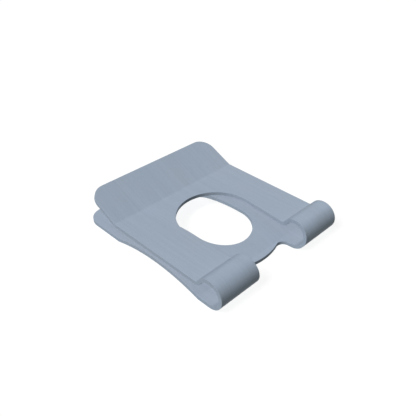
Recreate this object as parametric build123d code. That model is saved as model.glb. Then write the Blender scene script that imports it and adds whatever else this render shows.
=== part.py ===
from build123d import *

import os
from math import asin, atan2, ceil, cos, degrees, hypot, radians, sin, sqrt, tan

# Retaining clip, folded from one strip of spring steel. All sizes are in millimetres.
#
# From its lip the strip runs forward as the flat upper leaf, turns down in two rolls, and comes
# back as the lower leaf, which arches up under the pin hole and ends in the flat tab that the clip
# rests on. The grooved end of a pin slides in between the rolls, along the slot and into the pin
# hole. It presses the lower leaf down on the way, then drops into its catch hole and is locked.
#
# Frame: the origin is the pin hole's centre, in the upper leaf's top face. +X points to the rolls,
# Y runs across the strip and +Z points up, away from the lower leaf.

# Strip
strip_width = 20.0
strip_thickness = 0.45

# Pin hole and slot of the upper leaf
pin_radius = 5.0  # at the bottom of the pin's groove
pin_clearance = 0.04
slot_taper = 4.4  # degrees on each side, in the flat strip

# Upper leaf and its lip
pin_to_lip_bend = 7.3
lip_length = 5.52
lip_angle = 24.6
lip_bend_radius = 0.4
lip_corner_radius = 2.05

# Rolls
roll_inner_radius = 1.4
roll_rise = 1.3  # from the upper leaf's top face to the rolls' top
valley_radius = 0.45  # of the hollow between the upper leaf and the rolls
pin_to_roll = 8.57  # from the pin hole's axis to the rolls' axis

# Lower leaf and its tab
crest_gap = 0.48  # between the arch's crest and the upper leaf
front_flat_length = 1.46
arch_length = 14.12
fold_radius = 0.5  # inside the bends at the arch's ends
tab_length = 6.6
tab_corner_radius = 2.1

# Catch hole in the lower leaf, a slot that leaves the pin's end room to tilt as it drops in
catch_hole_radius = 3.87
catch_hole_lead = 0.71  # from the pin hole's axis forward to the centre of the front end
catch_hole_straight = 6.3

# Tongue of the lower leaf, which shows between the rolls at the slot's end
tongue_setback = 0.79  # of its tip, behind the rolls' axis
tongue_radius = 8.4
notch_corner_radius = 0.9

# Degrees between the sections that carry the slot round the rolls
section_step = 30.0

# Worked out from the sizes above
roll_outer_radius = roll_inner_radius + strip_thickness
base_z = roll_rise - 2 * roll_outer_radius
roll_axis_z = base_z + roll_outer_radius
pin_hole_radius = pin_radius + pin_clearance

# The valley's arc touches the upper leaf's top face and the rolls' outside.
valley_to_roll = roll_outer_radius + valley_radius
valley_x = pin_to_roll - sqrt(valley_to_roll**2 - (valley_radius - roll_axis_z) ** 2)
roll_end_angle = degrees(atan2(valley_radius - roll_axis_z, valley_x - pin_to_roll))

# The arch is one arc that touches the bends at its ends.
arch_rise = -base_z - 2 * strip_thickness - crest_gap
arch_front_x = pin_to_roll - front_flat_length
arch_rear_x = arch_front_x - arch_length
fold_outer_radius = fold_radius + strip_thickness
fold_to_arch = hypot(arch_length / 2, arch_rise) ** 2 / (2 * arch_rise)
arch_radius = fold_to_arch - fold_outer_radius
arch_turn = degrees(asin(arch_length / 2 / fold_to_arch))


def valley_arc(depth):
    """The valley from the side, at a depth under the strip's outer face."""
    centre = (valley_x, valley_radius)
    return CenterArc(centre, valley_radius + depth, -90, roll_end_angle - 90)


def roll_arc(depth):
    """A roll from the side, at a depth under the strip's outer face."""
    centre = (pin_to_roll, roll_axis_z)
    return CenterArc(centre, roll_outer_radius - depth, roll_end_angle, -roll_end_angle - 90)


def strip_line(depth):
    """The whole strip from the side, from lip to tab, at a depth under its outer face."""
    lip = radians(lip_angle)
    lip_tip = (
        -pin_to_lip_bend - lip_length * cos(lip) - depth * sin(lip),
        lip_length * sin(lip) - depth * cos(lip),
    )
    lip_bend_x = lip_bend_radius * tan(lip / 2) - pin_to_lip_bend
    lip_bend = CenterArc(
        (lip_bend_x, lip_bend_radius), lip_bend_radius + depth, -90 - lip_angle, lip_angle
    )
    fold_z = base_z + fold_outer_radius
    bend_radius = fold_outer_radius - depth
    arch_centre = (arch_rear_x + arch_length / 2, base_z + arch_rise - arch_radius)
    flat_z = base_z + depth
    return Wire(
        [
            Line(lip_tip, lip_bend @ 0),
            lip_bend,
            Line(lip_bend @ 1, (valley_x, -depth)),
            valley_arc(depth),
            roll_arc(depth),
            Line((pin_to_roll, flat_z), (arch_front_x, flat_z)),
            CenterArc((arch_front_x, fold_z), bend_radius, -90, -arch_turn),
            CenterArc(arch_centre, arch_radius + depth, 90 - arch_turn, 2 * arch_turn),
            CenterArc((arch_rear_x, fold_z), bend_radius, arch_turn - 90, -arch_turn),
            Line((arch_rear_x, flat_z), (arch_rear_x - tab_length, flat_z)),
        ]
    )


def bent_strip():
    """The strip after bending, still without its holes, with rounded corners at both tips."""
    outer = strip_line(0)
    inner = strip_line(strip_thickness)
    ends = [Line(outer @ 0, inner @ 0), Line(outer @ 1, inner @ 1)]
    side = make_face(Wire([*outer.edges(), *inner.edges(), *ends]))
    strip = extrude(Plane.XZ * side, strip_width / 2, both=True)
    tab_corners = strip.edges().filter_by(Axis.Z).group_by(Axis.X)[0]
    strip = fillet(tab_corners, tab_corner_radius)
    through_lip = Axis((0, 0, 0), (sin(radians(lip_angle)), 0, cos(radians(lip_angle))))
    lip_corners = strip.edges().filter_by(through_lip).group_by(Axis.X)[0]
    return fillet(lip_corners, lip_corner_radius)


def slot_half_width(distance):
    """Half the slot's width at a distance from the pin hole's axis, along the flat strip."""
    return pin_hole_radius / cos(radians(slot_taper)) - distance * tan(radians(slot_taper))


def slot_outline(rear_x, rear_half_width, front_x, front_half_width):
    """A stretch of the slot in plan."""
    corners = [
        (rear_x, -rear_half_width),
        (front_x, -front_half_width),
        (front_x, front_half_width),
        (rear_x, rear_half_width),
    ]
    return make_face(Polyline(*corners, close=True))


def upper_leaf_cut():
    """The pin hole and the slot's flat stretch, whose edges leave the hole as tangents."""
    taper = radians(slot_taper)
    tangent_x = pin_hole_radius * sin(taper)
    tangent_y = pin_hole_radius * cos(taper)
    slot = slot_outline(tangent_x, tangent_y, valley_x, slot_half_width(valley_x))
    overrun = crest_gap / 2
    bottom = Plane.XY.offset(-strip_thickness - overrun)
    return extrude(bottom * (Circle(pin_hole_radius) + slot), strip_thickness + 2 * overrun)


def rolled_cut(arc, start):
    """The slot's stretch along one bend, which starts this far from the pin hole's axis."""
    path = Plane.XZ * arc
    steps = ceil(degrees(arc.length / arc.radius) / section_step)
    sections = []
    for step in range(steps + 1):
        share = step / steps
        half_width = slot_half_width(start + share * arc.length)
        across = Plane(path @ share, x_dir=(0, 1, 0), z_dir=path % share)
        sections.append(across * Rectangle(2 * half_width, strip_thickness + valley_radius))
    return loft(sections)


def notch_cut(start):
    """The slot's end in the lower leaf, on both sides of the tongue."""
    tongue_tip_x = pin_to_roll - tongue_setback
    rear_x = tongue_tip_x - tongue_radius
    rear_half_width = slot_half_width(start + pin_to_roll - rear_x)
    slot = slot_outline(rear_x, rear_half_width, pin_to_roll, slot_half_width(start))
    notch = slot - Pos(rear_x, 0) * Circle(tongue_radius)
    notch = fillet(notch.vertices().group_by(Axis.X)[0], notch_corner_radius)
    return extrude(Plane.XY.offset(base_z - crest_gap / 2) * notch, strip_thickness + crest_gap)


def catch_hole_cut():
    """The catch hole, cut up through the arch and stopped short of the upper leaf."""
    centre_x = catch_hole_lead - catch_hole_straight / 2
    outline = Pos(centre_x, 0) * SlotCenterToCenter(catch_hole_straight, 2 * catch_hole_radius)
    height = arch_rise + strip_thickness + crest_gap
    return extrude(Plane.XY.offset(base_z - crest_gap / 2) * outline, height)


valley = valley_arc(strip_thickness / 2)
roll = roll_arc(strip_thickness / 2)
retaining_clip = (
    bent_strip()
    - upper_leaf_cut()
    - rolled_cut(valley, valley_x)
    - rolled_cut(roll, valley_x + valley.length)
    - notch_cut(valley_x + valley.length + roll.length)
    - catch_hole_cut()
)

os.makedirs("parts", exist_ok=True)
export_step(retaining_clip, "parts/retaining_clip.step")
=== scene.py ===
import bmesh
import bpy
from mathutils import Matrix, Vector


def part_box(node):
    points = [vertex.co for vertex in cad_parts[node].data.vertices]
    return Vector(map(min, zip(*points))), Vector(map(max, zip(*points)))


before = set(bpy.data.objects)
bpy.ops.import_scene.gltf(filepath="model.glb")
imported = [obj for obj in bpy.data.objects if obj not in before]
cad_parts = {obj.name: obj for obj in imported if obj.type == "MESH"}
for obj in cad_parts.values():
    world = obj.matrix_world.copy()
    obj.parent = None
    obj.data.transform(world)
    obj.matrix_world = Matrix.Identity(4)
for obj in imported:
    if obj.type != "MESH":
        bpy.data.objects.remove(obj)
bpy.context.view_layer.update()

# Retaining clip
# One strip of spring steel, blanked with its holes and folded into two leaves that two rolls join.
# It is tumbled, so its edges are slightly rounded, and zinc plated with a matt, pale blue
# passivation. The steel's rolling grain runs along the strip, and its cut edges have shear marks.
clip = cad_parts["retaining_clip"]
rest_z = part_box("retaining_clip")[0].z
strip_thickness = 0.00045


def empty_tree(owner):
    """The shader tree of a material or a world, with nothing in it."""
    owner.use_nodes = True
    owner.node_tree.nodes.clear()
    return owner.node_tree


def add_node(tree, kind, inputs=(), **settings):
    """A shader node with its settings, and with a value or another node's output in its inputs."""
    node = tree.nodes.new("ShaderNode" + kind)
    for name, value in settings.items():
        setattr(node, name, value)
    for name, value in dict(inputs).items():
        if isinstance(value, bpy.types.NodeSocket):
            tree.links.new(value, node.inputs[name])
        else:
            node.inputs[name].default_value = value
    return node


def mixed(tree, factor, first, second):
    """The first colour where the factor is 0, and the second where it is 1."""
    # A Mix node takes its two colours in sockets 6 and 7, and gives their mix in output 2.
    return add_node(
        tree, "Mix", {"Factor": factor, 6: first, 7: second}, data_type="RGBA"
    ).outputs[2]


def combine(operation, first, second=0.0, third=0.0, clamp=False):
    """One step of arithmetic on values of the clip's surface."""
    step = add_node(steel_tree, "Math", operation=operation, use_clamp=clamp)
    for socket, value in zip(step.inputs, (first, second, third)):
        if isinstance(value, bpy.types.NodeSocket):
            steel_tree.links.new(value, socket)
        else:
            socket.default_value = value
    return step.outputs[0]


def ramp(value, start, end, low=0.0, high=1.0):
    """A value of the clip's surface, spread so that start gives low and end gives high."""
    return add_node(
        steel_tree,
        "MapRange",
        {"Value": value, "From Min": start, "From Max": end, "To Min": low, "To Max": high},
    ).outputs[0]


def pattern(spacing, detail, seed):
    """Noise on the clip, from -1 to 1, with this spacing in millimetres along X, Y and Z."""
    placed = add_node(
        steel_tree,
        "Mapping",
        {"Vector": on_clip, "Location": (seed, 2 * seed, 3 * seed), "Scale": [1000 / s for s in spacing]},
    )
    noise = add_node(
        steel_tree, "TexNoise", {"Vector": placed.outputs[0], "Scale": 1.0, "Detail": detail}
    )
    return ramp(noise.outputs["Fac"], start=0.25, end=0.75, low=-1.0, high=1.0)


def weighted(*layers):
    """The sum of patterns, each times its weight."""
    total = 0.0
    for layer, weight in layers:
        total = combine("MULTIPLY_ADD", layer, weight, total)
    return total


steel = bpy.data.materials.new("zinc_plated_spring_steel")
steel_tree = empty_tree(steel)
on_clip = add_node(steel_tree, "TexCoord").outputs["Object"]
place = add_node(steel_tree, "SeparateXYZ", {"Vector": on_clip})
surface_normal = add_node(steel_tree, "NewGeometry").outputs["Normal"]
facing = add_node(steel_tree, "SeparateXYZ", {"Vector": surface_normal})

# The cut edges face across the strip. Where the strip is about level, its upright faces are cut
# too: behind the bend that leads up to the rolls, and in the lower leaf, also under the rolls.
facing_share = 0.5  # of the normal, above which a face looks that way
upright_share = 0.65  # of the normal along Z, below which a face is upright
hair = 0.00001  # past a height, so that what lies at that height is on one side of it
level_end_x = 0.0064
lower_leaf_top_z = rest_z + strip_thickness
faces_across = combine("GREATER_THAN", combine("ABSOLUTE", facing.outputs["Y"]), facing_share)
upright = combine("LESS_THAN", combine("ABSOLUTE", facing.outputs["Z"]), upright_share)
behind_rolls = combine("LESS_THAN", place.outputs["X"], level_end_x)
on_lower_leaf = combine("LESS_THAN", place.outputs["Z"], lower_leaf_top_z + hair)
level_strip = combine("MAXIMUM", behind_rolls, on_lower_leaf)
cut = combine("MAXIMUM", faces_across, combine("MULTIPLY", upright, level_strip))
rolled = combine("SUBTRACT", 1.0, cut)

# The patterns' spacings are short across the marks that they draw, and long along them.
fine_grain = combine("MULTIPLY", pattern(spacing=(9.0, 0.16, 9.0), detail=3.0, seed=1.3), rolled)
broad_grain = combine("MULTIPLY", pattern(spacing=(14.0, 0.9, 14.0), detail=2.0, seed=4.1), rolled)
shear_marks = combine("MULTIPLY", pattern(spacing=(0.07, 0.07, 0.5), detail=2.0, seed=5.6), cut)
mottle = pattern(spacing=(0.45, 0.45, 0.45), detail=4.0, seed=7.7)
tint = pattern(spacing=(7.0, 5.0, 7.0), detail=2.0, seed=9.2)

# Bright steel shows through the plating in patches where the edges have rubbed.
shade_samples = 8
edge_reach = 0.00004
patchiness = 0.4
edge_shade = add_node(
    steel_tree,
    "AmbientOcclusion",
    {"Distance": edge_reach},
    samples=shade_samples,
    inside=True,
    only_local=True,
)
edge = ramp(edge_shade.outputs["AO"], start=0.85, end=0.45)
patches = combine("MULTIPLY_ADD", mottle, patchiness, 1.0 - patchiness, clamp=True)
rubbed = combine("MULTIPLY", edge, patches)

# In the hollows the plating is painted a lighter, less blue grey: painted light that offsets the shade
# and bluish bounce light there.
hollow_reach = 0.003
hollow_shade = add_node(
    steel_tree,
    "AmbientOcclusion",
    {"Distance": hollow_reach},
    samples=shade_samples,
    only_local=True,
)
hollow_light_mask = ramp(hollow_shade.outputs["AO"], start=1.0, end=0.5)

# Painted shade: the plating is darker where a roll looks to the rear, above the crease and on the roll's
# inside.
pin_hole_x = 0.0
faces_rear = ramp(facing.outputs["X"], start=-0.25, end=-0.6)
ahead_of_hole = combine("GREATER_THAN", place.outputs["X"], pin_hole_x)
painted_crease_shade = combine("MULTIPLY", faces_rear, combine("MULTIPLY", rolled, ahead_of_hole))

# Painted shade: the top of the lower leaf is a shade darker under the upper leaf, from its tab to the
# fold under the rolls.
fold_x = 0.00698
faces_up = combine("GREATER_THAN", facing.outputs["Z"], facing_share)
below_upper_leaf = combine("LESS_THAN", place.outputs["Z"], -strip_thickness - hair)
behind_fold = combine("LESS_THAN", place.outputs["X"], fold_x)
painted_shade_under_leaf = combine("MULTIPLY", faces_up, combine("MULTIPLY", below_upper_leaf, behind_fold))

# Painted shade: a cut face that lies across the rolling grain, facing along the strip, is darker.
faces_along = ramp(combine("ABSOLUTE", facing.outputs["X"]), start=0.88, end=0.97)
painted_shade_on_cut_faces = combine("MULTIPLY", cut, faces_along)

bluer_plating = (0.327, 0.396, 0.4955, 1.0)
greyer_plating = (0.339, 0.396, 0.4815, 1.0)
# Painted light for the hollows: a lighter, less blue grey.
painted_hollow_light_colour = (0.353, 0.403, 0.476, 1.0)
greyness = ramp(tint, start=-1.0, end=1.0)
open_plating = mixed(steel_tree, greyness, bluer_plating, greyer_plating)
plating = mixed(steel_tree, hollow_light_mask, open_plating, painted_hollow_light_colour)
# The surface's brightness: grain, shear marks, mottle and rubbed edges, with painted shade on the rolls'
# rears, the lower leaf and the cut faces across the grain.
marks_and_painted_shade = weighted(
    (fine_grain, 0.045),
    (broad_grain, 0.018),
    (shear_marks, 0.05),
    (mottle, 0.02),
    (rubbed, 0.06),
    (painted_crease_shade, -0.14),
    (painted_shade_under_leaf, -0.025),
    (painted_shade_on_cut_faces, -0.25),
)
colour = add_node(
    steel_tree, "VectorMath", {0: plating, "Scale": combine("ADD", marks_and_painted_shade, 1.0)}, operation="SCALE"
)

edge_rounding = 0.000025
rounded = add_node(steel_tree, "Bevel", {"Radius": edge_rounding}, samples=shade_samples)
relief_depth = 0.000001
relief_height = weighted((fine_grain, 1.0), (broad_grain, 0.8), (shear_marks, 1.5), (mottle, 0.5))
relief = add_node(
    steel_tree,
    "Bump",
    {"Normal": rounded.outputs[0], "Strength": 1.0, "Distance": relief_depth, "Height": relief_height},
)

plating_metallic = 0.11
rubbing_metallic = 0.2  # added where the plating has rubbed
plating_roughness = 0.55
plating_gloss = 0.02
roughness_change = weighted((fine_grain, 0.05), (shear_marks, 0.08), (mottle, 0.04), (rubbed, -0.1))
surface = add_node(
    steel_tree,
    "BsdfPrincipled",
    {
        "Base Color": colour.outputs[0],
        "Metallic": combine("MULTIPLY_ADD", rubbed, rubbing_metallic, plating_metallic, clamp=True),
        "Roughness": combine("ADD", roughness_change, plating_roughness),
        "Specular IOR Level": plating_gloss,
        "Normal": relief.outputs[0],
    },
)
add_node(steel_tree, "OutputMaterial", {"Surface": surface.outputs[0]})
clip.material_slots[0].material = steel

# Floor
# A plain pale sheet under the clip's tab and rolls. It is clear from below, so that the clip's
# underside shows, and lies a hair lower than the tab, so that no two faces share one height.
floor_half_width = 0.6
floor_gap = 0.000005
floor_mesh = bmesh.new()
bmesh.ops.create_grid(floor_mesh, x_segments=1, y_segments=1, size=floor_half_width)
bmesh.ops.translate(floor_mesh, verts=floor_mesh.verts, vec=(0, 0, rest_z - floor_gap))
floor_data = bpy.data.meshes.new("floor")
floor_mesh.to_mesh(floor_data)
floor_mesh.free()
floor = bpy.data.objects.new("floor", floor_data)
bpy.context.scene.collection.objects.link(floor)


def seen_directly(tree):
    """1 for rays from the camera, and for those that metal mirrors or glass lets through."""
    path = add_node(tree, "LightPath")
    glossy = add_node(
        tree,
        "Math",
        {0: path.outputs["Is Camera Ray"], 1: path.outputs["Is Glossy Ray"]},
        operation="MAXIMUM",
    )
    return add_node(
        tree,
        "Math",
        {0: glossy.outputs[0], 1: path.outputs["Is Transmission Ray"]},
        operation="MAXIMUM",
    ).outputs[0]


# Seen directly the sheet is white. About half of that is lit, which keeps the clip's shadow, and
# the rest is its own glow. What it bounces up at the clip is dim and slightly warm.
paper_bounce = (0.21, 0.213, 0.19, 1.0)
paper_lit = (0.5, 0.5, 0.5, 1.0)
paper_glow = (0.46, 0.46, 0.46, 1.0)
paper = bpy.data.materials.new("pale_floor")
paper_tree = empty_tree(paper)
paper_seen = seen_directly(paper_tree)
paper_colour = mixed(paper_tree, paper_seen, paper_bounce, paper_lit)
paper_diffuse = add_node(paper_tree, "BsdfDiffuse", {"Color": paper_colour})
paper_white = add_node(paper_tree, "Emission", {"Color": paper_glow, "Strength": paper_seen})
paper_sum = add_node(paper_tree, "AddShader", {0: paper_diffuse.outputs[0], 1: paper_white.outputs[0]})
from_below = add_node(paper_tree, "NewGeometry").outputs["Backfacing"]
paper_clear = add_node(paper_tree, "BsdfTransparent")
paper_shown = add_node(
    paper_tree, "MixShader", {0: from_below, 1: paper_sum.outputs[0], 2: paper_clear.outputs[0]}
)
add_node(paper_tree, "OutputMaterial", {"Surface": paper_shown.outputs[0]})
floor_data.materials.append(paper)

# Studio light
# A softbox in front and above, with a fill beside it and one behind that cast no shadow, and a
# softbox that shines on the floor alone, where it brings out the clip's shadow, in a white room.
to_front_lamps = (-0.07, -0.62, 0.78)
to_back_lamp = (0.0, 0.9, 0.43)
lamp_distance = 8.0
softbox_width = 2.9


def softbox(name, to_lamp, watts, casts_shadow=True, shines_on=None):
    """A square lamp that shines on everything, or on one object alone."""
    light = bpy.data.lights.new(name, "AREA")
    light.energy = watts
    light.size = softbox_width
    light.use_shadow = casts_shadow
    lamp = bpy.data.objects.new(name, light)
    direction = Vector(to_lamp).normalized()
    lamp.location = direction * lamp_distance
    lamp.rotation_mode = "QUATERNION"
    lamp.rotation_quaternion = direction.to_track_quat("Z", "Y")
    bpy.context.scene.collection.objects.link(lamp)
    if shines_on:
        lit = bpy.data.collections.new(name + "_shines_on")
        lit.objects.link(shines_on)
        lamp.light_linking.receiver_collection = lit


softbox("key_softbox", to_front_lamps, watts=50.0)
softbox("fill_softbox", to_front_lamps, watts=620.0, casts_shadow=False)
softbox("back_softbox", to_back_lamp, watts=200.0, casts_shadow=False)
softbox("floor_softbox", to_front_lamps, watts=140.0, shines_on=floor)

# The room shows white, and its own light on the clip is dim and slightly warm.
room_light = (0.043, 0.044, 0.031, 1.0)
room_white = (1.0, 1.0, 1.0, 1.0)
room = bpy.data.worlds.new("white_room")
room_tree = empty_tree(room)
room_colour = mixed(room_tree, seen_directly(room_tree), room_light, room_white)
room_background = add_node(room_tree, "Background", {"Color": room_colour})
add_node(room_tree, "OutputWorld", {"Surface": room_background.outputs[0]})
bpy.context.scene.world = room
bpy.context.scene.view_settings.view_transform = "Standard"

# Camera
# It looks down the diagonal of a cube from the side of the rolls, as in the photograph, and its
# place sets the clip's size in the picture. Its lens and sensor are in millimetres.
camera_place = (0.035626, -0.037177, 0.037439)
camera_view = (-1, 1, -1)
camera_data = bpy.data.cameras.new("camera")
camera_data.lens = 45.0
camera_data.sensor_width = 36.0
camera_data.clip_start = 0.001
camera_data.clip_end = 10.0
camera = bpy.data.objects.new("camera", camera_data)
camera.location = camera_place
camera.rotation_mode = "QUATERNION"
camera.rotation_quaternion = Vector(camera_view).to_track_quat("-Z", "Y")
bpy.context.scene.collection.objects.link(camera)
bpy.context.scene.camera = camera
